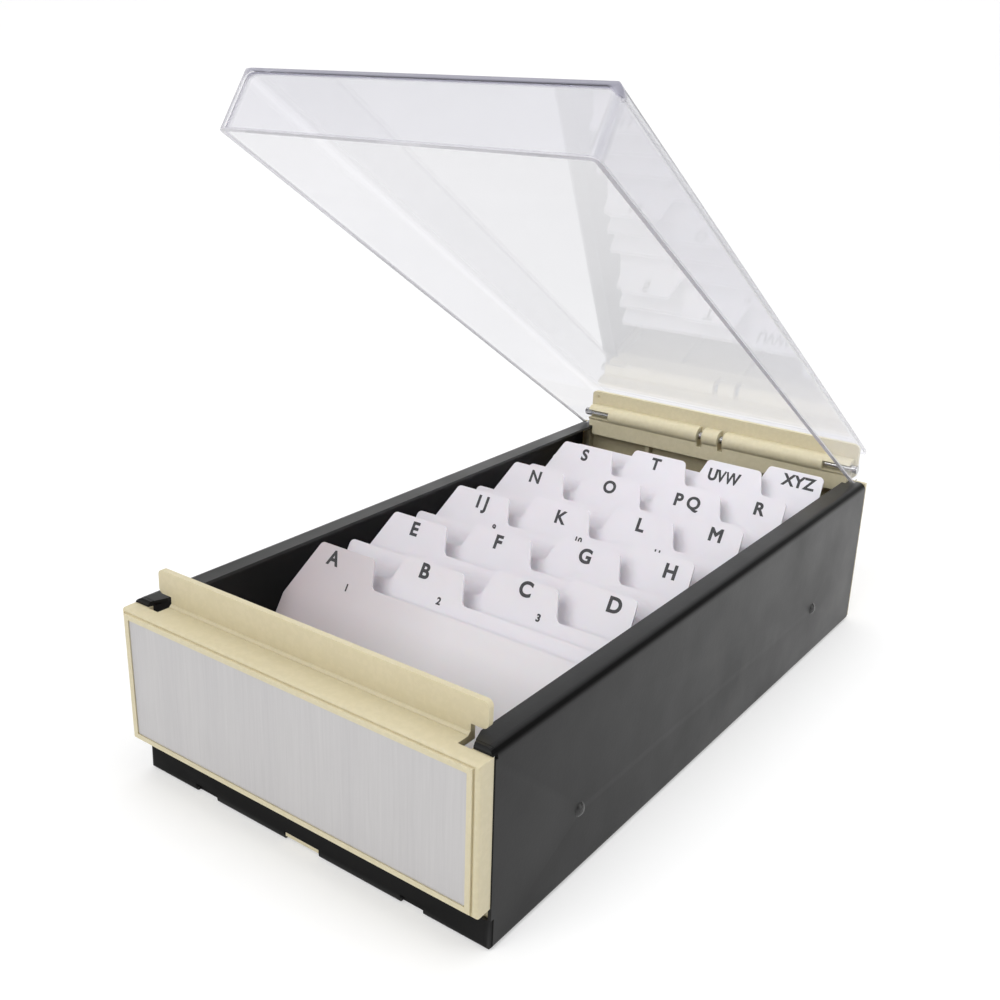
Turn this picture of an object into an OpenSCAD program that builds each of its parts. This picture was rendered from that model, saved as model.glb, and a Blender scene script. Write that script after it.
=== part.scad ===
// Desk card file: a folded steel tray with moulded end panels, a clear hinged lid
// and twenty pivoting index dividers. Millimetres, +Z up, front towards -Y.
// The origin is the centre of the tray's underside.

/* [Tray] */
// Width of the steel tray
tray_w = 125; // [118:1:140]
// Length of the steel tray
tray_l = 238; // [232:1:260]
// Height from the desk to the top of the rails
tray_h = 56; // [54:1:58]
// Thickness of the steel sheet
sheet_t = 1; // [0.8:0.1:1.2]
// Width of the rail folded inwards along the top of each side
rail_w = 7.7; // [7:0.1:9]
// Outer radius of the folds along the top of the sides
bend_r = 2.6; // [1.6:0.1:3]
// Outer radius of the folds along the floor
floor_r = 1.4; // [1.2:0.1:3]
// Height of the front lip
lip_h = 8.6; // [7:0.1:10]

/* [Lid] */
// Angle at which the lid stands open
lid_open = 32; // [0:1:90]
// Outer width of the lid
lid_w = 118.4; // [114:0.2:118.4]
// Wall thickness of the lid
lid_t = 1.5; // [1.2:0.1:1.6]
// Height of the lid's top above the hinge at the front
lid_front_h = 14.6; // [12:0.1:16]
// Height of the lid's top above the hinge at the rear
lid_rear_h = 11.8; // [11.6:0.1:13]
// Radius of the lid's rounded outer edges
lid_edge_r = 2.4; // [2:0.1:4]
// Radius of the lid's upper corners, seen from the front
lid_corner_r = 4.6; // [2.4:0.1:4.8]

/* [Hinge] */
// Radius of the steel hinge rod
rod_r = 1.5; // [1:0.1:1.8]
// Height of the rod above the desk
rod_z = 61.4; // [61:0.1:63]
// Distance of the rod in front of the tray's rear edge
rod_inset = 2.6; // [2:0.1:3]

/* [End panels] */
// How far the front panel stands out in front of the tray
panel_proud = 5.7; // [4:0.1:7]
// Angle by which the front panel's face leans forward at the top
face_lean = 1.4; // [0:0.1:2]
// Height of the front panel's lower edge
panel_low = 12.6; // [11:0.1:14]
// Height of the upright flange along the front panel's ledge
front_flange_h = 8.4; // [6:0.1:10]
// Height of the upright flange behind the hinge roll, above the rails
rear_flange_h = 14.2; // [10:0.1:14.2]
// Width of both upright flanges
flange_w = 114.8; // [108:0.2:114.8]
// Wall thickness of the moulded panels
wall = 2; // [1.6:0.1:2.4]

/* [Dividers] */
// Width of a divider card
card_w = 104.6; // [98:0.2:107]
// Thickness of a divider card
card_t = 0.7; // [0.5:0.1:1]
// Distance from one divider's pivot to the next
card_pitch = 8.76; // [8:0.01:9]
// Angle at which the dividers lean back
card_lean = 32; // [20:1:34]
// Distance from the pivot up to the shoulder of the card
card_up = 38.9; // [34:0.1:40]
// Distance from the pivot down to the foot of the card
card_down = 14; // [6:0.5:14]
// Height of the index tab above the shoulder
tab_h = 8.9; // [6:0.1:10]
// Width of the index tab along its top edge
tab_top_w = 21.4; // [16:0.2:22]
// Width of the index tab at its base
tab_base_w = 27; // [22:0.5:27]

/* [Hidden] */
labels = ["a", "b", "c", "d", "e", "f", "g", "h", "ij", "k",
          "l", "m", "n", "o", "pq", "r", "s", "t", "uvw", "xyz"];
$fn = 64;
eps = 0.01;

front_y = -tray_l / 2;
rear_y = tray_l / 2;
rod_y = rear_y - rod_inset;
opening_w = tray_w - 2 * rail_w;
inner_w = tray_w - 2 * sheet_t;
panel_w = tray_w - 0.6;
slip = 0.3;
back_gap = 0.2;

// Lid, measured from the rod with the lid shut
lid_front = rod_y - front_y + 1.4;
lid_back = 6;
ear_r = rod_z - tray_h - 0.5;
lid_taper = atan((lid_front_h - lid_rear_h) / (lid_front + lid_back));
lid_wall_low = 8;

// Hinge roll
roll_r = 3.3;
roll_end = 56.2;
roll_gap_in = 3.4;
roll_gap_out = 5.7;
rod_len = lid_w + 0.4;
fixed_gap = 0.02;
running_gap = 0.06;

// Corner of the lip, seen from above
lip_corner_r = 2;

// Front panel, measured from the tray's front edge
edge_r = 1.2;
ledge_drop = 1.6;
ledge_z = tray_h - ledge_drop;
ledge_back = -back_gap - (ledge_z - panel_low) * sin(face_lean);
frame_proud = 0.5;
frame_t = 1.6;
plate_w = 117.8;
plate_low = 15.4;
plate_high = 51.8;
plate_t = 0.6;
recess = 0.4;
flange_t = 1.8;
front_flange_y = 3;
tongue_x = opening_w / 2 - slip;
notch_x = opening_w / 2 - 2.4;
notch_y = -1.9;
seat_x = opening_w / 2 + 1.6;
lug_y = -1.7;
lug_low = ledge_z + 0.1;
lug_top = tray_h - 0.05;
lug_in = opening_w / 2 + 1.9;
lug_r = bend_r - 0.05;
lug_turn = acos((bend_r - tray_h + lug_low) / lug_r);
skirt_y = 1.3;
slot_x = [-37.5, 0, 38.2];
slot_w = [8.8, 12.8, 7.6];
slot_h = 2.6;

// Rear panel, measured from the tray's rear edge
back_t = 2.6;
rear_flange_y = 2;
beam_low = 52.4;
beam_top = 57;
beam_front = 1.9;
window_in = 46.7;
window_h = 3.3;
mark = 1.3;
rib_pitch = 28.6;

// Dividers and the strips that carry their pins
pivot_z = 19;
first_pivot = front_y + 31.3;
pin_r = 1;
pin_len = 3.9;
strip_w = 6.9;
strip_low = 10;
strip_h = 15;
strip_run = 9.8;
tab_pitch = 27;
tab_shift = 6.4;
corner_r = 1.8;
arc_steps = 8;

// Rivets
rivet_y = [front_y + 38.7, front_y + 196.3];
rivet_z = 19.4;
rivet_r = 1.2;
rivet_head_r = 2.1;
rivet_head_h = 1;

// Extrudes an outline drawn in X and Z from one Y to another
module along_y(from, to) {
    translate([0, to, 0])
        rotate([90, 0, 0])
            linear_extrude(height = to - from)
                children();
}

// Extrudes an outline drawn in Y and Z from one X to another
module along_x(from, to) {
    translate([from, 0, 0])
        rotate([90, 0, 90])
            linear_extrude(height = to - from)
                children();
}

// A box from its lowest corner to its highest
module block(low, high) {
    translate(low)
        cube(high - low);
}

// A rectangle with its lowest corner at the origin and all corners rounded
module soft_rect(w, h, r) {
    translate([r, 0])
        square([w - 2 * r, h]);
    translate([0, r])
        square([w, h - 2 * r]);
    for (x = [r, w - r])
        for (y = [r, h - r])
            translate([x, y])
                circle(r = r);
}

// A rectangle centred on X, with one radius for the low corners and one for the high
module folded_rect(w, low, high, low_r, high_r) {
    room = 2 * (low_r + high_r);
    intersection() {
        translate([-w / 2, low])
            soft_rect(w, high - low + room, low_r);
        translate([-w / 2, low - room])
            soft_rect(w, high - low + room, high_r);
    }
}

module tray_outline() {
    folded_rect(tray_w, 0, tray_h, floor_r, bend_r);
}

// Floor, sides and rails as one folded section
module tray_section() {
    difference() {
        tray_outline();
        folded_rect(inner_w, sheet_t, tray_h - sheet_t, floor_r - sheet_t + 0.1, bend_r - sheet_t);
        translate([-opening_w / 2, tray_h / 2])
            square([opening_w, tray_h]);
    }
}

// The lip's section, folded up from the floor
module lip_section() {
    r = 1.2 * sheet_t;
    translate([0, r])
        square([sheet_t, lip_h - r]);
    translate([r, 0])
        square([r, sheet_t]);
    intersection() {
        difference() {
            translate([r, r])
                circle(r = r);
            translate([r, r])
                circle(r = r - sheet_t);
        }
        square([r, r]);
    }
}

module front_lip() {
    intersection() {
        translate([0, front_y, 0])
            along_x(-tray_w / 2, tray_w / 2)
                lip_section();
        translate([-tray_w / 2, front_y, 0])
            linear_extrude(height = lip_h)
                soft_rect(tray_w, 8, lip_corner_r);
        along_y(front_y - 1, front_y + 4)
            translate([-tray_w / 2, 0])
                soft_rect(tray_w, tray_h, floor_r);
    }
}

// The tongue that the rail sends forward over the front panel, on the right side
module rail_lug() {
    intersection() {
        translate([0, front_y, lug_low])
            linear_extrude(height = lug_top - lug_low)
                polygon([[lug_in, lug_y], [tray_w / 2, lug_y], [tray_w / 2, 2.2],
                         [opening_w / 2 + 1, 2.2]]);
        translate([0, front_y, 0])
            along_x(0, tray_w / 2)
                polygon([[lug_y, lug_low], [lug_y, lug_top - 0.8], [lug_y + 0.8, lug_top],
                         [2.2, lug_top], [2.2, lug_low]]);
        along_y(front_y - 5, front_y + 5)
            polygon(concat([[lug_in - 2.5, lug_low], [lug_in - 2.5, lug_top]],
                           [for (i = [0:6])
                               [tray_w / 2 - bend_r + lug_r * sin(lug_turn * i / 6),
                                tray_h - bend_r + lug_r * cos(lug_turn * i / 6)]]));
    }
}

// Slanted cut at the inner corner of the right rail's front end
module rail_corner_cut() {
    translate([0, front_y, tray_h - 3])
        linear_extrude(height = 6)
            polygon([[opening_w / 2 - 1, -3], [opening_w / 2 + 1.9, -1.7],
                     [opening_w / 2 + 1.3, 0], [opening_w / 2 + eps, 3.7], [opening_w / 2 - 1, 3.7]]);
}

// The side wall's front edge, raked to follow the leaning panel
module raked_edge(s) {
    rake = (tray_h - lip_h) * tan(face_lean);
    translate([0, front_y, 0])
        along_x(s > 0 ? inner_w / 2 : -tray_w / 2, s > 0 ? tray_w / 2 : -inner_w / 2)
            polygon([[0.5, lip_h + 2], [0, lip_h + 2], [-rake + 0.3, tray_h - 4],
                     [-rake + 0.3, tray_h - bend_r], [0.5, tray_h - bend_r]]);
}

module tray() {
    seam = 1.2 * sheet_t;
    color("#2c2b2a")
    difference() {
        union() {
            raked_edge(1);
            raked_edge(-1);
            difference() {
                along_y(front_y, rear_y)
                    tray_section();
                block([-tray_w, front_y - 1, -1], [tray_w, front_y + seam, lip_h + 0.4]);
            }
            front_lip();
            rail_lug();
            mirror([1, 0, 0])
                rail_lug();
        }
        rail_corner_cut();
        mirror([1, 0, 0])
            rail_corner_cut();
        for (i = [0:2])
            translate([slot_x[i] - slot_w[i] / 2, front_y - 1, -1])
                cube([slot_w[i], 2.6, slot_h + 1]);
        for (y = rivet_y)
            translate([0, y, rivet_z])
                rotate([0, 90, 0])
                    cylinder(r = rivet_r + fixed_gap, h = tray_w + 2, center = true);
    }
}

// Outer form of the front panel's face block, with soft front edges
module face_block() {
    intersection() {
        along_x(-panel_w / 2, panel_w / 2)
            union() {
                translate([-panel_proud, panel_low])
                    soft_rect(panel_proud - 1, ledge_z - panel_low, edge_r);
                translate([-panel_proud + edge_r, panel_low])
                    square([panel_proud - edge_r - back_gap, ledge_z - panel_low]);
            }
        linear_extrude(height = ledge_z)
            union() {
                translate([-panel_w / 2, -panel_proud])
                    soft_rect(panel_w, panel_proud + 4, edge_r);
            }
    }
}

// A rectangular ring around the plate, from one Y to another
module plate_ring(inside, outside, from, to) {
    along_y(from, to)
        difference() {
            translate([-plate_w / 2 - outside, plate_low - outside])
                square([plate_w + 2 * outside, plate_high - plate_low + 2 * outside]);
            translate([-plate_w / 2 - inside, plate_low - inside])
                square([plate_w + 2 * inside, plate_high - plate_low + 2 * inside]);
        }
}

// An upright flange with soft ends, standing on a narrower base
module upright_flange(y, base, foot, top, base_x) {
    along_y(y, y + flange_t)
        union() {
            translate([-flange_w / 2, foot])
                soft_rect(flange_w, top - foot, 1.6);
            translate([-base_x, base])
                square([2 * base_x, foot - base + 2]);
        }
}

// Tips the front panel's face forward about its lower edge
module lean_face() {
    translate([0, 0, panel_low])
        rotate([face_lean, 0, 0])
            translate([0, 0, -panel_low])
                children();
}

// The hollow face block with its ribs, the frame around the plate and the pocket for it
module front_face() {
    difference() {
        union() {
            difference() {
                face_block();
                block([-panel_w / 2 + wall, -panel_proud + wall + 0.2, panel_low + wall],
                      [panel_w / 2 - wall, 0, ledge_z - wall]);
            }
            for (x = [-30, 0, 30])
                translate([x - 0.8, -panel_proud + wall, panel_low + 1])
                    cube([1.6, panel_proud - wall - 0.3, ledge_z - panel_low - 2]);
            plate_ring(0.1, frame_t, -panel_proud - frame_proud, -panel_proud + 0.4);
        }
        block([-plate_w / 2 - 0.1, -panel_proud - 1, plate_low - 0.1],
              [plate_w / 2 + 0.1, -panel_proud + recess, plate_high + 0.1]);
        plate_ring(frame_t, frame_t + 0.5, -panel_proud - 1, -panel_proud + 0.3);
    }
}

module front_panel() {
    lug_room = tray_h + 1.2;
    color("#ded6b2")
    translate([0, front_y, 0])
    difference() {
        union() {
            lean_face()
                front_face();
            block([-notch_x, ledge_back - 0.4, ledge_z - wall],
                  [notch_x, front_flange_y + flange_t, ledge_z - 0.06]);
            upright_flange(front_flange_y, ledge_z - wall, lug_room, tray_h + front_flange_h, notch_x);
            along_x(-notch_x, notch_x)
                polygon([[front_flange_y - 0.8, ledge_z - 0.5], [front_flange_y - 0.8, ledge_z + 0.1],
                         [front_flange_y - 0.3, ledge_z + 0.6], [front_flange_y + 0.2, ledge_z + 0.8],
                         [front_flange_y + 0.2, ledge_z - 0.5]]);
            for (s = [-1, 1])
                translate([s * (seat_x + 2.5) - 2.5, notch_y, ledge_z - wall])
                    cube([5, 1.7, lug_low - 0.05 - ledge_z + wall]);
            block([-61, -1.2, panel_low], [61, skirt_y + flange_t, panel_low + wall]);
            block([-61, skirt_y, 1.6], [61, skirt_y + flange_t, panel_low + wall]);
            translate([slot_x[1] - slot_w[1] / 2 + slip, 0.25, 1.25])
                cube([slot_w[1] - 2 * slip, 2.6, 1.1]);
        }
        for (s = [-1, 1]) {
            block([s > 0 ? notch_x : -seat_x, notch_y, ledge_z - 6],
                  [s > 0 ? seat_x : -notch_x, 6, lug_room]);
            block([s > 0 ? seat_x - eps : -panel_w, notch_y, lug_low - 0.05],
                  [s > 0 ? panel_w : -seat_x + eps, 6, lug_room]);
        }
    }
}

module face_plate() {
    color("#c9c8c8")
    translate([0, front_y, 0])
    lean_face()
        along_y(-panel_proud + recess - plate_t, -panel_proud + recess)
            translate([-plate_w / 2, plate_low])
                soft_rect(plate_w, plate_high - plate_low, 0.6);
}

// Section of the roll around the rod, with the web that joins it to the beam below
module roll_section() {
    translate([rod_y, rod_z])
        circle(r = roll_r);
    translate([rod_y - beam_front, beam_top - 1])
        square([beam_front + rear_flange_y + 0.2, rod_z - beam_top + 1]);
    translate([rod_y, rod_z])
        square([rear_flange_y + 0.2, roll_r]);
}

module rear_panel() {
    flange_y = rod_y + rear_flange_y;
    color("#d3caa6")
    difference() {
        union() {
            intersection() {
                along_x(-panel_w / 2, panel_w / 2)
                    translate([rear_y + back_gap - 3, 1])
                        soft_rect(back_t + 3, tray_h - 1.2, edge_r);
                translate([-panel_w / 2, rear_y + back_gap, 0])
                    cube([panel_w, back_t, tray_h]);
                linear_extrude(height = tray_h)
                    translate([-panel_w / 2, rear_y + back_gap - 6])
                        soft_rect(panel_w, back_t + 6, edge_r);
            }
            for (i = [-2:2])
                translate([i * rib_pitch - 0.9, rear_y - 2.8, 3])
                    cube([1.8, 3.5, beam_low - 2]);
            block([-tongue_x, rod_y - beam_front, beam_low], [tongue_x, rear_y + 1, beam_top]);
            upright_flange(flange_y, beam_low, tray_h + 1.2, tray_h + rear_flange_h, tongue_x);
            along_x(-roll_end, -roll_gap_out)
                roll_section();
            along_x(-roll_gap_in, roll_gap_in)
                roll_section();
            along_x(roll_gap_out, roll_end)
                roll_section();
        }
        translate([0, rod_y, rod_z])
            rotate([0, 90, 0])
                cylinder(r = rod_r + fixed_gap, h = 2 * roll_end + 2, center = true);
        for (s = [-1, 1])
            translate([s * (window_in + tray_w / 2), rod_y - roll_r, rod_z])
                cube([tray_w, 2 * roll_r, window_h], center = true);
        translate([-flange_w / 2 + 2.5, flange_y - 0.3, tray_h + rear_flange_h - 2.8])
            cube([mark, 0.6, mark]);
    }
}

module hinge_rod() {
    color("#b9bcc0")
    translate([0, rod_y, rod_z])
        rotate([0, 90, 0])
            cylinder(r = rod_r, h = rod_len, center = true);
}

// The lid's form without its hollow, shrunk all round by inset
module lid_form(inset) {
    w = lid_w - 2 * inset;
    edge = lid_edge_r - inset;
    front = -lid_front + inset;
    back = lid_back - inset;
    high = lid_rear_h - inset;
    translate([0, lid_back, 0])
    rotate([-lid_taper, 0, 0])
    translate([0, -lid_back, 0])
    intersection() {
        along_x(-w / 2, w / 2)
            translate([front, high - 60])
                soft_rect(back - front, 60, edge);
        along_y(front, back)
            translate([-w / 2, high - 60])
                soft_rect(w, 60, lid_corner_r - inset);
        translate([-w / 2, front, -60])
            linear_extrude(height = 120)
                soft_rect(w, back - front, edge);
    }
}

// What is left of the side walls: the rim in front of the rod and an ear around it
module lid_side_outline() {
    circle(r = ear_r);
    polygon([[-lid_front - 5, -ear_r], [0, -ear_r],
             [ear_r * sin(60), ear_r * cos(60)], [lid_back - 0.2, lid_wall_low],
             [lid_back + 5, lid_wall_low], [lid_back + 5, 30], [-lid_front - 5, 30]]);
}

module lid() {
    color("#d9dbe6", 0.35)
    translate([0, rod_y, rod_z])
    rotate([-lid_open, 0, 0])
    difference() {
        intersection() {
            lid_form(0);
            along_x(-lid_w, lid_w)
                lid_side_outline();
        }
        lid_form(lid_t);
        block([-lid_w / 2 + lid_t, 0, -ear_r - 1], [lid_w / 2 - lid_t, lid_back + 2, lid_wall_low]);
        rotate([0, 90, 0])
            cylinder(r = rod_r + running_gap, h = lid_w + 2, center = true);
    }
}

// A strip on the right side, whose inner wall carries the dividers' pins
module guide_strip() {
    run = strip_run;
    from = first_pivot - run;
    to = first_pivot + 19 * card_pitch + run;
    x = inner_w / 2;
    difference() {
        union() {
            block([x - sheet_t, from, strip_low], [x, to, strip_low + strip_h]);
            block([x - strip_w, from, strip_low], [x, to, strip_low + sheet_t]);
            block([x - strip_w, from, strip_low], [x - strip_w + sheet_t, to, strip_low + strip_h - 1]);
        }
        for (i = [0:19])
            translate([x - strip_w - 1, first_pivot + i * card_pitch, pivot_z])
                rotate([0, 90, 0])
                    cylinder(r = pin_r + running_gap, h = sheet_t + 2);
        for (y = rivet_y)
            translate([x - sheet_t - 1, y, rivet_z])
                rotate([0, 90, 0])
                    cylinder(r = rivet_r + fixed_gap, h = sheet_t + 2);
    }
}

module guide_right() {
    color("#333332")
        guide_strip();
}

module guide_left() {
    color("#333332")
        mirror([1, 0, 0])
            guide_strip();
}

// A domed rivet on the right side, along +X
module rivet(y) {
    head_ball = (rivet_head_r * rivet_head_r + rivet_head_h * rivet_head_h) / (2 * rivet_head_h);
    translate([tray_w / 2, y, rivet_z])
    rotate([0, 90, 0]) {
        intersection() {
            translate([0, 0, rivet_head_h - head_ball])
                sphere(r = head_ball);
            cylinder(r = rivet_head_r, h = rivet_head_h + 1);
        }
        translate([0, 0, -2 * sheet_t])
            cylinder(r = rivet_r, h = 2 * sheet_t + 0.2);
        translate([0, 0, -2 * sheet_t - 0.7])
            cylinder(r = rivet_head_r, h = 0.7);
    }
}

module rivet_right(row) {
    color("#3a3a3a")
        rivet(rivet_y[row]);
}

module rivet_left(row) {
    color("#3a3a3a")
        mirror([1, 0, 0])
            rivet(rivet_y[row]);
}

function unit(v) = v / norm(v);

function turned(v, a) = [v[0] * cos(a) - v[1] * sin(a), v[0] * sin(a) + v[1] * cos(a)];

// Points of the arc of radius r that rounds the corner at b between a and c
function arc(a, b, c, r) =
    let (u = unit(a - b),
         w = unit(c - b),
         half = acos(u * w) / 2,
         centre = b + unit(u + w) * r / sin(half),
         from = b + u * r / tan(half) - centre,
         way = sign(cross(from, w - u)))
    [for (k = [0:arc_steps]) centre + turned(from, way * (180 - 2 * half) * k / arc_steps)];

// Outline of a divider in X and Z with its pivot at the origin
module card_outline(column) {
    half = card_w / 2;
    top = card_up + tab_h;
    x = min((column - 1.5) * tab_pitch + tab_shift, half - tab_top_w / 2 - 0.6);
    tip = tab_top_w / 2;
    foot = tab_base_w / 2;
    left = column == 0 ? [[-half, card_up - 10]] : [[-half, card_up], [x - foot, card_up]];
    right = column == 3 ? [[half, card_up - 2]] : [[x + foot, card_up], [half, card_up]];
    path = concat([[-half, -card_down]], left, [[x - tip, top], [x + tip, top]], right,
                  [[half, -card_down]]);
    n = len(path);
    polygon([for (i = [0:n - 1])
                 each arc(path[(i + n - 1) % n], path[i], path[(i + 1) % n], corner_r)]);
}

module divider(i) {
    color(i % 2 == 0 ? "#e2dde5" : "#dcd8e0")
    translate([0, first_pivot + i * card_pitch, pivot_z])
    rotate([-card_lean, 0, 0]) {
        along_y(-card_t / 2, card_t / 2)
            card_outline(i % 4);
        for (s = [-1, 1])
            translate([s * (card_w / 2 + pin_len / 2 - 1), 0, 0])
                rotate([0, 90, 0])
                    cylinder(r = pin_r, h = pin_len + 2, center = true);
    }
}

tray();
front_panel();
face_plate();
rear_panel();
hinge_rod();
lid();
guide_left();
guide_right();
rivet_left(0);  // rivet_left_front
rivet_left(1);  // rivet_left_rear
rivet_right(0);  // rivet_right_front
rivet_right(1);  // rivet_right_rear
divider(0);  // divider_a
divider(1);  // divider_b
divider(2);  // divider_c
divider(3);  // divider_d
divider(4);  // divider_e
divider(5);  // divider_f
divider(6);  // divider_g
divider(7);  // divider_h
divider(8);  // divider_ij
divider(9);  // divider_k
divider(10);  // divider_l
divider(11);  // divider_m
divider(12);  // divider_n
divider(13);  // divider_o
divider(14);  // divider_pq
divider(15);  // divider_r
divider(16);  // divider_s
divider(17);  // divider_t
divider(18);  // divider_uvw
divider(19);  // divider_xyz
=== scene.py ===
"""Card index box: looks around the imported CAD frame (metres, +Z up, front towards -Y)."""
import math

import bmesh
import bpy
from mathutils import Matrix, Vector


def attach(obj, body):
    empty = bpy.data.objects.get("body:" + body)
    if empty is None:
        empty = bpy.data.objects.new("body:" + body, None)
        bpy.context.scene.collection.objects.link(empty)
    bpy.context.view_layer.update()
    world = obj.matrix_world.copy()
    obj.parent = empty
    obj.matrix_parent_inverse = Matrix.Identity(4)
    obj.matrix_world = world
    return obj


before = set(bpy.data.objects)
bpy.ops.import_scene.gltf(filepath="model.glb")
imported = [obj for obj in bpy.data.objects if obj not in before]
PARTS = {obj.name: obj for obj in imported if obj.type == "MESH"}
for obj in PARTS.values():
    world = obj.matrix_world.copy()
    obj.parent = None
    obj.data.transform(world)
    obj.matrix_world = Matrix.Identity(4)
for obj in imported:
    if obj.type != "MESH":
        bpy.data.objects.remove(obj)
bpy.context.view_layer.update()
scene = bpy.context.scene
MM = 0.001
LABELS = ["A", "B", "C", "D", "E", "F", "G", "H", "IJ", "K",
          "L", "M", "N", "O", "PQ", "R", "S", "T", "UVW", "XYZ"]

# The photographed pose, as in part.scad.
LID_OPEN = math.radians(32)
CARD_LEAN = math.radians(32)
ROD = Vector((0.0, 116.4, 61.4)) * MM


# ---------------------------------------------------------------- node helper
class Nodes:
    """Builds one node material. Masks run from 0 to 1, and lengths are in metres."""

    def __init__(self, name):
        self.mat = bpy.data.materials.new(name)
        self.mat.use_nodes = True
        self.tree = self.mat.node_tree
        self.bsdf = self.tree.nodes["Principled BSDF"]
        self.out = self.tree.nodes["Material Output"]

    def add(self, kind, **values):
        """Makes a node. Each value goes to the input of that name, or else to the setting."""
        node = self.tree.nodes.new(kind)
        for key, value in values.items():
            if key in node.inputs:
                node.inputs[key].default_value = value
            else:
                setattr(node, key, value)
        return node

    def link(self, output, socket):
        self.tree.links.new(output, socket)

    def feed(self, **outputs):
        """Links outputs to the main shader's inputs."""
        for key, output in outputs.items():
            self.link(output, self.bsdf.inputs[key.replace("_", " ")])

    def set(self, **values):
        """Sets the main shader's inputs."""
        for key, value in values.items():
            self.bsdf.inputs[key.replace("_", " ")].default_value = value

    def coords(self, scale=(1, 1, 1)):
        mapping = self.add("ShaderNodeMapping", Scale=scale)
        self.link(self.add("ShaderNodeTexCoord").outputs["Object"], mapping.inputs["Vector"])
        return mapping.outputs["Vector"]

    def split(self, vector):
        separate = self.add("ShaderNodeSeparateXYZ")
        self.link(vector, separate.inputs[0])
        return separate.outputs

    def noise(self, scale, detail=3.0, rough=0.5, stretch=(1, 1, 1)):
        node = self.add("ShaderNodeTexNoise", Scale=scale, Detail=detail, Roughness=rough)
        self.link(self.coords(stretch), node.inputs["Vector"])
        return node.outputs["Fac"]

    def ramp(self, mask, low, high):
        """Colours along a mask, from one (position, colour) stop to another."""
        node = self.add("ShaderNodeValToRGB")
        for element, (position, color) in zip(node.color_ramp.elements, (low, high)):
            element.position = position
            element.color = (*color, 1)
        self.link(mask, node.inputs["Fac"])
        return node.outputs["Color"]

    def span(self, value, low, high, start=0.0, end=1.0):
        """Goes from low to high while the value goes from start to end."""
        node = self.add("ShaderNodeMapRange")
        node.inputs["From Min"].default_value = start
        node.inputs["From Max"].default_value = end
        node.inputs["To Min"].default_value = low
        node.inputs["To Max"].default_value = high
        self.link(value, node.inputs["Value"])
        return node.outputs["Result"]

    def step(self, value, start, end):
        """A mask that goes from 0 to 1 while the value goes from start to end."""
        return self.span(value, 0, 1, start, end)

    def bump(self, height, distance, strength, after=None):
        node = self.add("ShaderNodeBump", Distance=distance, Strength=strength)
        self.link(height, node.inputs["Height"])
        if after is not None:
            self.link(after, node.inputs["Normal"])
        self.feed(Normal=node.outputs["Normal"])
        return node.outputs["Normal"]

    def blend(self, first, second, factor, kind="MIX"):
        """Blends two colours; each one, and the factor, is a value or an output."""
        node = self.add("ShaderNodeMix", data_type="RGBA", blend_type=kind)
        for value, socket in ((factor, node.inputs[0]), (first, node.inputs[6]),
                              (second, node.inputs[7])):
            if isinstance(value, bpy.types.NodeSocket):
                self.link(value, socket)
            else:
                socket.default_value = (*value, 1) if isinstance(value, tuple) else value
        return node.outputs[2]

    def times(self, first, second):
        return self.blend(first, second, 1.0, "MULTIPLY")

    def math(self, kind, first, *others):
        """Does one kind of sum on the values, in turn. A value on its own is paired with 0."""
        for other in others or (0.0,):
            node = self.add("ShaderNodeMath", operation=kind)
            for value, socket in zip((first, other), node.inputs):
                if isinstance(value, bpy.types.NodeSocket):
                    self.link(value, socket)
                else:
                    socket.default_value = value
            first = node.outputs[0]
        return first


# ---------------------------------------------------------------- materials
def black_steel():
    """Satin black paint, painted darker on the bends as painted shade, and with a painted reflection that
    makes it shinier to the rear and on top and duller on bends and towards the front.
    """
    n = Nodes("black_painted_steel")
    paint = n.ramp(n.noise(14, 4), (0.3, (0.0072, 0.0072, 0.0074)), (0.7, (0.0102, 0.0102, 0.0104)))
    geometry = n.add("ShaderNodeNewGeometry").outputs
    facing_x, facing_y, facing_z = n.split(geometry["Normal"])
    # Painted shade: faces on the rounded bends, turned between the side and the top, are painted almost
    # black.
    bend = n.math("MULTIPLY", n.step(n.math("ABSOLUTE", facing_x), 0.2, 0.6),
                  n.step(facing_z, 0.2, 0.6))
    worn = n.blend(paint, (0.05, 0.05, 0.05), n.step(geometry["Pointiness"], 0.56, 0.72))
    n.feed(Base_Color=n.blend(worn, (0.004, 0.004, 0.004), bend))

    # Painted reflection: the specular level rises towards the rear and on upward faces, and drops on the
    # bends and on faces turned to the front.
    painted_sheen_by_depth = n.span(n.split(n.coords())[1], 0.085, 0.27, -0.12, 0.12)
    painted_sheen_on_top = n.span(facing_z, 0.0, 0.2)
    n.feed(Specular_IOR_Level=n.math("MULTIPLY", n.math("ADD", painted_sheen_by_depth, painted_sheen_on_top),
                                     n.span(bend, 1.0, 0.2),
                                     n.span(facing_y, 0.35, 1.0, -0.9, -0.5)),
           Roughness=n.span(n.noise(38, 3), 0.32, 0.42, 0.35, 0.65))
    grain = n.bump(n.noise(900, 2), 0.04 * MM, 0.4)
    n.bump(n.noise(70, 2), 0.1 * MM, 0.5, grain)
    return n.mat


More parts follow.
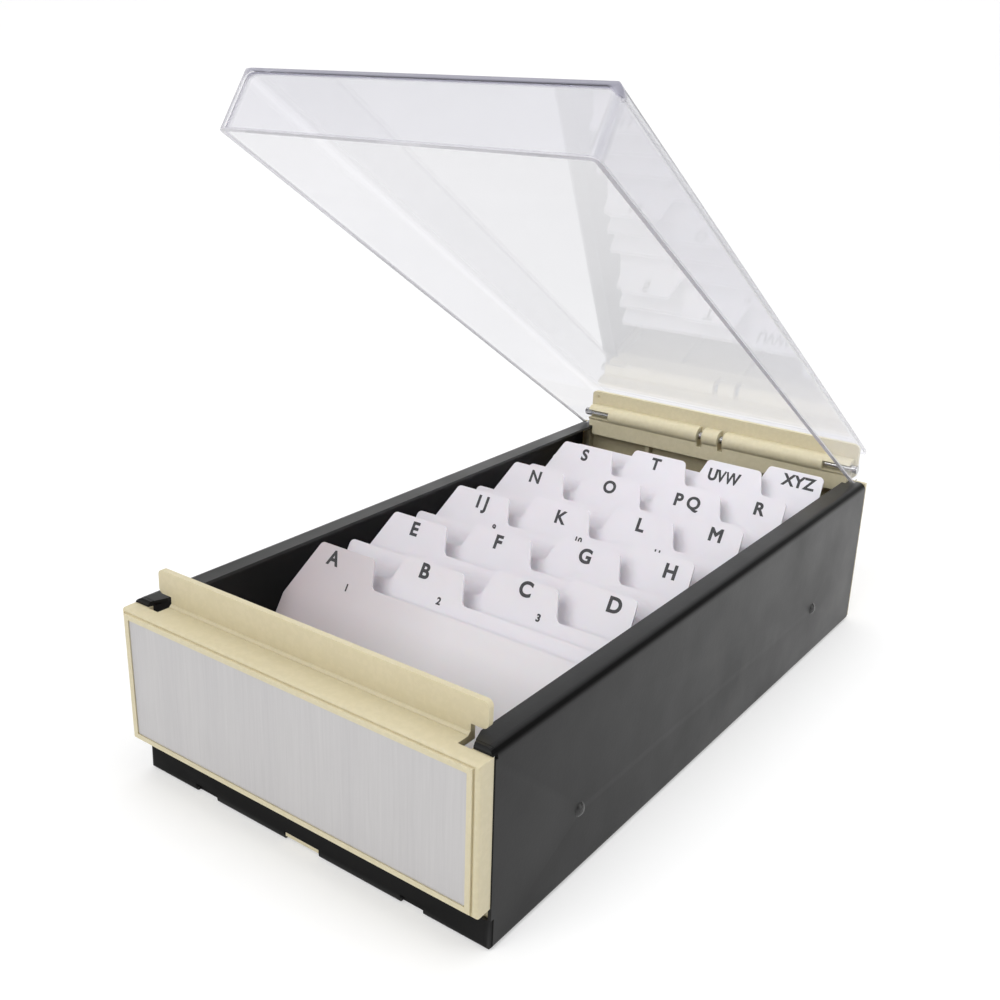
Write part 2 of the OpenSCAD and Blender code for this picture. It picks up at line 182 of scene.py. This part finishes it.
def cream_plastic(name, tone, shade, below=None):
    """Moulded cream plastic, with painted shade that makes it greyer under the height `below` where one
    is given.
    """
    n = Nodes(name)
    color = n.ramp(n.noise(11, 4), (0.3, shade), (0.7, tone))
    if below is not None:
        # Painted shade: under the height `below` the colour is darkened, standing for the shadow cast
        # from above.
        height = n.split(n.coords())[2]
        painted_shade_below = n.ramp(n.step(height, below - 5 * MM, below), (0.0, (0.66, 0.645, 0.61)), (1.0, (1, 1, 1)))
        color = n.times(color, painted_shade_below)
    specks = n.ramp(n.noise(650, 2), (0.45, (0.965, 0.965, 0.955)), (0.6, (1, 1, 1)))
    n.feed(Base_Color=n.times(color, specks), Roughness=n.span(n.noise(45, 3), 0.38, 0.52))
    n.set(Subsurface_Weight=0.12, Subsurface_Scale=4 * MM, Subsurface_Radius=(1.0, 0.8, 0.45),
          Specular_IOR_Level=0.4)
    grain = n.bump(n.noise(1500, 2), 0.02 * MM, 0.45)
    n.bump(n.noise(90, 2), 0.06 * MM, 0.5, grain)
    return n.mat


def brushed_plate():
    """Silver plate with an upright brushing."""
    n = Nodes("brushed_plate")
    fine = n.noise(60, 3, 0.6, stretch=(30, 30, 0.3))
    broad = n.noise(22, 3, 0.55, stretch=(5, 5, 0.15))
    color = n.ramp(fine, (0.25, (0.51, 0.50, 0.50)), (0.8, (0.565, 0.553, 0.553)))
    bands = n.ramp(broad, (0.35, (0.965, 0.965, 0.97)), (0.65, (1, 1, 1)))
    n.feed(Base_Color=n.times(color, bands), Roughness=n.span(fine, 0.42, 0.5))
    n.set(Metallic=0.6, Anisotropic=0.5)
    n.bump(fine, 0.02 * MM, 0.3)
    return n.mat


def bright_rod():
    """Bare steel, turned round its length."""
    n = Nodes("bright_rod")
    turning = n.noise(120, 3, 0.6, stretch=(0.4, 30, 30))
    n.feed(Base_Color=n.ramp(turning, (0.3, (0.451, 0.451, 0.451)), (0.7, (0.55, 0.55, 0.55))),
           Roughness=n.span(turning, 0.16, 0.32))
    n.set(Metallic=1.0)
    n.bump(turning, 0.02 * MM, 0.4)
    return n.mat


def black_rivet():
    n = Nodes("black_rivet")
    n.feed(Base_Color=n.ramp(n.noise(60, 3), (0.3, (0.012, 0.012, 0.012)), (0.7, (0.022, 0.022, 0.022))),
           Roughness=n.span(n.noise(300, 2), 0.18, 0.3))
    n.bump(n.noise(500, 2), 0.03 * MM, 0.5)
    return n.mat


def card_plastic(name, painted_left_shade):
    """Pale lilac sheet, with painted shade towards its left side."""
    n = Nodes(name)
    color = n.ramp(n.noise(9, 3), (0.3, (0.76, 0.735, 0.775)), (0.7, (0.80, 0.775, 0.815)))
    across = n.split(n.coords())[0]
    # Painted shade: the colour darkens towards the sheet's left side.
    shade = n.ramp(n.step(across, -55 * MM, 10 * MM), (0.0, painted_left_shade), (1.0, (1, 1, 1)))
    n.feed(Base_Color=n.times(color, shade), Roughness=n.span(n.noise(240, 3), 0.42, 0.56))
    n.set(Subsurface_Weight=0.1, Subsurface_Scale=2 * MM)
    n.bump(n.noise(1300, 2), 0.02 * MM, 0.45)
    return n.mat


def print_ink():
    n = Nodes("printed_ink")
    n.feed(Base_Color=n.ramp(n.noise(900, 2), (0.35, (0.036, 0.035, 0.038)),
                             (0.65, (0.052, 0.051, 0.055))),
           Roughness=n.span(n.noise(1500, 2), 0.5, 0.65))
    return n.mat


def clear_plastic():
    """Clear walls with a faint grey-violet veil, painted darker or lighter by wall, and thicker-looking
    rounded edges and rim, painted violet and pale as painted refraction, shade and highlight.
    """
    n = Nodes("clear_plastic")
    n.set(Transmission_Weight=1.0, IOR=1.2)
    n.feed(Roughness=n.span(n.noise(30, 3), 0.0, 0.02, 0.4, 0.8))
    n.bump(n.noise(26, 2), 0.03 * MM, 0.25)

    # x, y and z from the rod's middle with the lid turned shut, and the height above the top's draft.
    shut = n.add("ShaderNodeMapping", Rotation=(LID_OPEN, 0, 0),
                 Location=-(Matrix.Rotation(LID_OPEN, 3, "X") @ ROD))
    n.link(n.add("ShaderNodeTexCoord").outputs["Object"], shut.inputs["Vector"])
    x, y, z = n.split(shut.outputs["Vector"])
    draft = 0.01153
    crown = n.math("ADD", z, n.math("MULTIPLY", y, draft))

    # Masks of the walls and of the edges between them.
    left_wall = n.step(x, -57.3 * MM, -57.7 * MM)
    left_edge = n.step(x, -56.0 * MM, -58.0 * MM)
    right_edge = n.step(x, 56.4 * MM, 58.4 * MM)
    front_wall = n.step(y, -235.0 * MM, -235.4 * MM)
    front_edge = n.step(y, -233.0 * MM, -235.0 * MM)
    top_wall = n.step(crown, 9.9 * MM, 10.3 * MM)
    top_edge = n.step(crown, 8.2 * MM, 9.6 * MM)
    rim = n.step(z, -4.2 * MM, -4.7 * MM)

    # Painted light and shade: the veil is painted darker on the top and left walls and lighter on the
    # front wall.
    tone = n.ramp(n.noise(12, 3), (0.3, (0.895, 0.895, 0.915)), (0.7, (0.92, 0.917, 0.94)))
    painted_dark_walls = n.math("MAXIMUM", top_wall, n.math("MULTIPLY", left_wall, 0.6))
    level = n.math("ADD", n.span(painted_dark_walls, 1.0, 0.855), n.math("MULTIPLY", front_wall, 0.075))
    grey = n.add("ShaderNodeCombineXYZ")
    for socket in grey.inputs:
        n.link(level, socket)
    n.feed(Base_Color=n.times(tone, grey.outputs[0]))

    # The hoop is the band round the front wall's outline, outside the rounded corners' centres.
    hoop_x, hoop_z = 54.6 * MM, 7.2 * MM
    past_top = n.math("MAXIMUM", n.math("SUBTRACT", crown, hoop_z))
    past_left = n.math("MAXIMUM", n.math("SUBTRACT", -hoop_x, x))
    past_right = n.math("MULTIPLY", n.math("MAXIMUM", n.math("SUBTRACT", x, hoop_x)),
                        n.step(past_top, 0, 1 * MM))
    reach = n.math("POWER", n.math("ADD", n.math("POWER", n.math("ADD", past_left, past_right), 2.0),
                                   n.math("POWER", past_top, 2.0)), 0.5)
    hoop = n.step(reach, 2.1 * MM, 2.9 * MM)
    # Painted refraction and shade: along the rounded edges and the rim the lid turns into a violet,
    # partly opaque surface.
    edge = n.math("MAXIMUM", n.math("MULTIPLY", front_edge, hoop, 0.85),
                  n.math("MULTIPLY", right_edge, top_edge, 0.4),
                  n.math("MULTIPLY", right_edge, front_edge, 0.25),
                  n.math("MULTIPLY", rim, 0.8))
    violet = n.ramp(n.noise(40, 2), (0.3, (0.36, 0.355, 0.425)), (0.7, (0.40, 0.395, 0.465)))
    painted_edge_look = n.add("ShaderNodeBsdfPrincipled", Roughness=0.25)
    # Painted highlight: the rim and the left edge get a paler colour.
    n.link(n.blend(violet, (0.62, 0.61, 0.65), n.math("MAXIMUM", rim, left_edge)),
           painted_edge_look.inputs["Base Color"])

    # Light passes the lid, so it casts hardly any shadow.
    clear = n.add("ShaderNodeBsdfTransparent", Color=(0.95, 0.95, 0.955, 1))
    is_shadow = n.add("ShaderNodeLightPath").outputs["Is Shadow Ray"]
    body = n.add("ShaderNodeMixShader")
    whole = n.add("ShaderNodeMixShader")
    for mixer, mask, first, second in ((body, edge, n.bsdf, painted_edge_look), (whole, is_shadow, body, clear)):
        n.link(mask, mixer.inputs[0])
        n.link(first.outputs[0], mixer.inputs[1])
        n.link(second.outputs[0], mixer.inputs[2])
    n.link(whole.outputs[0], n.out.inputs["Surface"])
    return n.mat


def dress(node, mat):
    mesh = PARTS[node].data
    mesh.materials.clear()
    mesh.materials.append(mat)


steel, rivet = black_steel(), black_rivet()
# The first card gets a strong painted shade on its left, the other cards a faint one.
first_card = card_plastic("divider_sheet_first", (0.66, 0.60, 0.60))
other_cards = card_plastic("divider_sheet", (0.97, 0.965, 0.965))
dress("tray", steel)
dress("front_panel", cream_plastic("cream_plastic", (0.635, 0.57, 0.395), (0.60, 0.535, 0.365)))
# The rear panel's cream is painted a little lighter than the front panel's, as painted light, and is
# given painted shade under 53 mm.
dress("rear_panel", cream_plastic("cream_plastic_rear_painted_shade", (0.66, 0.60, 0.42), (0.62, 0.56, 0.385),
                                  below=53 * MM))
dress("face_plate", brushed_plate())
dress("hinge_rod", bright_rod())
dress("lid", clear_plastic())
for side in ("left", "right"):
    dress("guide_" + side, steel)
    for row in ("front", "rear"):
        dress("rivet_%s_%s" % (side, row), rivet)
for label in LABELS:
    dress("divider_" + label.lower(), first_card if label == "A" else other_cards)

# ---------------------------------------------------------------- printed index, in millimetres
PIVOT_Z = 19.0           # height of the cards' pins
FIRST_Y = -87.7          # the first card's pins
PITCH = 8.76             # from one card's pins to the next
CARD_T = 0.7             # card thickness
INK_GAP = 0.03           # from a card's face to its print
LETTER = (6.3, 0.23)     # size, and how far the outline is moved outwards
NUMBER = (3.0, 0.14)
INK = print_ink()


def embolden(mesh, by):
    """Moves every outline vertex of a flat filled text outwards, with a limit at sharp corners."""
    same_place, no_turn, sharpest = 1e-7, 1e-4, 0.55
    bm = bmesh.new()
    bm.from_mesh(mesh)
    bmesh.ops.remove_doubles(bm, verts=bm.verts, dist=same_place)
    push = {}
    for vert in bm.verts:
        normals = []
        for edge in vert.link_edges:
            if len(edge.link_faces) == 1:
                start, end = (v.co for v in edge.verts)
                run = (end - start).normalized()
                out = Vector((run.y, -run.x, 0))
                inside = edge.link_faces[0].calc_center_median() - start
                normals.append(-out if out.dot(inside) > 0 else out)
        if len(normals) == 2:
            middle = normals[0] + normals[1]
            if middle.length > no_turn:
                middle.normalize()
                push[vert] = middle * by / max(middle.dot(normals[0]), sharpest)
    for vert, move in push.items():
        vert.co += move
    bm.to_mesh(mesh)
    bm.free()


def text_mesh(name, words, size, bold, squeeze):
    """A flat filled text round the origin, in metres."""
    curve = bpy.data.curves.new(name, "FONT")
    curve.body = words
    curve.size = size * MM
    curve.align_x = "CENTER"
    curve.align_y = "CENTER"
    curve.resolution_u = 8
    obj = bpy.data.objects.new(name, curve)
    scene.collection.objects.link(obj)
    bpy.context.view_layer.update()
    deps = bpy.context.evaluated_depsgraph_get()
    mesh = bpy.data.meshes.new_from_object(obj.evaluated_get(deps))
    bpy.data.objects.remove(obj)
    for v in mesh.vertices:
        v.co.x *= squeeze
    embolden(mesh, bold * MM)
    out = bpy.data.objects.new(name, mesh)
    scene.collection.objects.link(out)
    return out


def print_on(index, name, words, kind, across, up, squeeze=1.0):
    """Prints words on a card's front, `across` from its middle and `up` from its pins."""
    obj = text_mesh(name, words, *kind, squeeze)
    forward = -(CARD_T / 2 + INK_GAP)
    for v in obj.data.vertices:
        x, along = v.co.x / MM + across, v.co.y / MM + up
        y = FIRST_Y + index * PITCH + along * math.sin(CARD_LEAN) + forward * math.cos(CARD_LEAN)
        z = PIVOT_Z + along * math.cos(CARD_LEAN) - forward * math.sin(CARD_LEAN)
        v.co = Vector((x, y, z)) * MM
    obj.data.materials.append(INK)
    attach(obj, "divider_" + LABELS[index].lower())


# The tabs stand in four columns. Some letters are printed a little beside or below the usual
# place, and the numbers in full view have a place of their own.
COLUMN_X = (-34.3, -7.7, 19.6, 42.9)
FRONT_ROW_UP, LETTER_UP = 44.9, 43.8
NUMBER_BESIDE, NUMBER_UP = 9.2, 33.5
MOVED_TO = {"A": -38.2, "B": -9.9, "C": 20.5, "D": 45.2, "E": -34.9, "H": 44.9, "IJ": -33.0,
            "K": -6.0, "UVW": 17.2}
LOWERED_BY = {"A": 1.1, "B": 0.2, "K": 1.2, "PQ": 1.4, "UVW": 1.7, "R": 0.8, "H": 0.9, "D": 0.7}
NUMBER_AT = {"A": (-29.6, 36.8), "B": (-1.6, 37.8), "C": (27.5, 38.3), "IJ": (-25.2, 36.6),
             "K": (3.2, 36.8), "L": (28.5, 36.4), "T": (5.0, 36.2)}
SPACED = {"IJ": "I J", "PQ": "P Q"}
SQUEEZED = {"UVW": 0.86}
for i, label in enumerate(LABELS):
    column = i % len(COLUMN_X)
    letter_up = (FRONT_ROW_UP if i < len(COLUMN_X) else LETTER_UP) - LOWERED_BY.get(label, 0)
    print_on(i, "letter_" + label.lower(), SPACED.get(label, label), LETTER,
             MOVED_TO.get(label, COLUMN_X[column]), letter_up, SQUEEZED.get(label, 1.0))
    print_on(i, "number_%d" % (i + 1), str(i + 1), NUMBER,
             *NUMBER_AT.get(label, (COLUMN_X[column] + NUMBER_BESIDE, NUMBER_UP)))

# ---------------------------------------------------------------- stage and light, in metres
VIEW_AZ, VIEW_EL, VIEW_ROLL = (math.radians(a) for a in (36.69, 18.87, 1.74))


def sweep_floor():
    """A floor that bends up into a short wall behind the object, square to the camera."""
    half_width, front, back = 4.0, -3.0, 1.6
    bend, steps, wall_top = 0.5, 12, 0.95
    drop = 0.4 * MM
    profile = [(front, -drop), (back, -drop)]
    for k in range(1, steps + 1):
        turn = math.radians(90 * k / steps)
        profile.append((back + bend * math.sin(turn), bend * (1 - math.cos(turn)) - drop))
    profile.append((back + bend, wall_top))
    bm = bmesh.new()
    left, right = [[bm.verts.new((x, y, z)) for y, z in profile] for x in (-half_width, half_width)]
    for a, b, c, d in zip(left, left[1:], right[1:], right):
        bm.faces.new((a, d, c, b))
    bm.normal_update()
    mesh = bpy.data.meshes.new("studio_floor")
    bm.to_mesh(mesh)
    bm.free()
    for polygon in mesh.polygons:
        polygon.use_smooth = True
    obj = bpy.data.objects.new("studio_floor", mesh)
    obj.matrix_world = Matrix.Rotation(VIEW_AZ, 4, "Z")
    scene.collection.objects.link(obj)

    n = Nodes("studio_floor")
    n.feed(Base_Color=n.ramp(n.noise(3, 2), (0.3, (0.60, 0.60, 0.60)), (0.7, (0.62, 0.62, 0.62))))
    n.set(Roughness=0.9, Specular_IOR_Level=0.1, Emission_Strength=0.42,
          Emission_Color=(1, 1, 1, 1))
    mesh.materials.append(n.mat)


def area_light(name, place, target, size, power):
    light = bpy.data.lights.new(name, "AREA")
    light.shape = "RECTANGLE"
    light.size, light.size_y = size
    light.energy = power
    obj = bpy.data.objects.new(name, light)
    scene.collection.objects.link(obj)
    obj.location = place
    obj.rotation_euler = (Vector(target) - Vector(place)).to_track_quat("-Z", "Y").to_euler()


def studio_world():
    """Grey surroundings that are darker above the horizon, where the sides mirror them."""
    stops = [(0.0, 0.55), (0.44, 0.50), (0.52, 0.20), (0.68, 0.20), (0.80, 0.60), (1.0, 0.75)]
    world = bpy.data.worlds.new("studio")
    scene.world = world
    world.use_nodes = True
    nodes, links = world.node_tree.nodes, world.node_tree.links
    coord = nodes.new("ShaderNodeTexCoord")
    split = nodes.new("ShaderNodeSeparateXYZ")
    ramp = nodes.new("ShaderNodeValToRGB")
    elements = ramp.color_ramp.elements
    elements[0].position = stops[0][0]
    elements[1].position = stops[-1][0]
    for position, _ in stops[1:-1]:
        elements.new(position)
    for element, (_, level) in zip(elements, stops):
        element.color = (level, level, level, 1)
    background = nodes["Background"]
    background.inputs["Strength"].default_value = 0.8
    links.new(coord.outputs["Generated"], split.inputs[0])
    links.new(split.outputs["Z"], ramp.inputs["Fac"])
    links.new(ramp.outputs["Color"], background.inputs["Color"])


sweep_floor()
middle = (0, 0, 0.05)
area_light("key", (-0.15, -1.6, 1.35), middle, (1.3, 1.3), 21)
area_light("top", (0.3, 0.3, 1.9), middle, (2.0, 2.0), 18)
area_light("side", (1.6, 0.5, 0.7), middle, (1.2, 1.2), 5)
area_light("backdrop", (-1.0, 1.3, 1.7), (-1.25, 1.7, 0), (3.0, 1.6), 10)
studio_world()
scene.view_settings.view_transform = "Standard"


# ---------------------------------------------------------------- camera
def photo_camera():
    """The photograph's viewpoint, fitted to the tray's and the lid's edges."""
    forward = Vector((-math.sin(VIEW_AZ) * math.cos(VIEW_EL),
                      math.cos(VIEW_AZ) * math.cos(VIEW_EL), -math.sin(VIEW_EL)))
    level_right = forward.cross(Vector((0, 0, 1))).normalized()
    level_up = level_right.cross(forward)
    right = level_right * math.cos(VIEW_ROLL) + level_up * math.sin(VIEW_ROLL)
    up = level_up * math.cos(VIEW_ROLL) - level_right * math.sin(VIEW_ROLL)
    cam = bpy.data.cameras.new("camera")
    cam.sensor_width = 36
    cam.lens = 42.8058
    cam.shift_x, cam.shift_y = 0.04068, -0.029
    cam.clip_start = 0.01
    obj = bpy.data.objects.new("camera", cam)
    scene.collection.objects.link(obj)
    turn = Matrix((right, up, -forward)).transposed().to_4x4()
    obj.matrix_world = Matrix.Translation((0.19243, -0.31134, 0.20066)) @ turn
    scene.camera = obj


photo_camera()
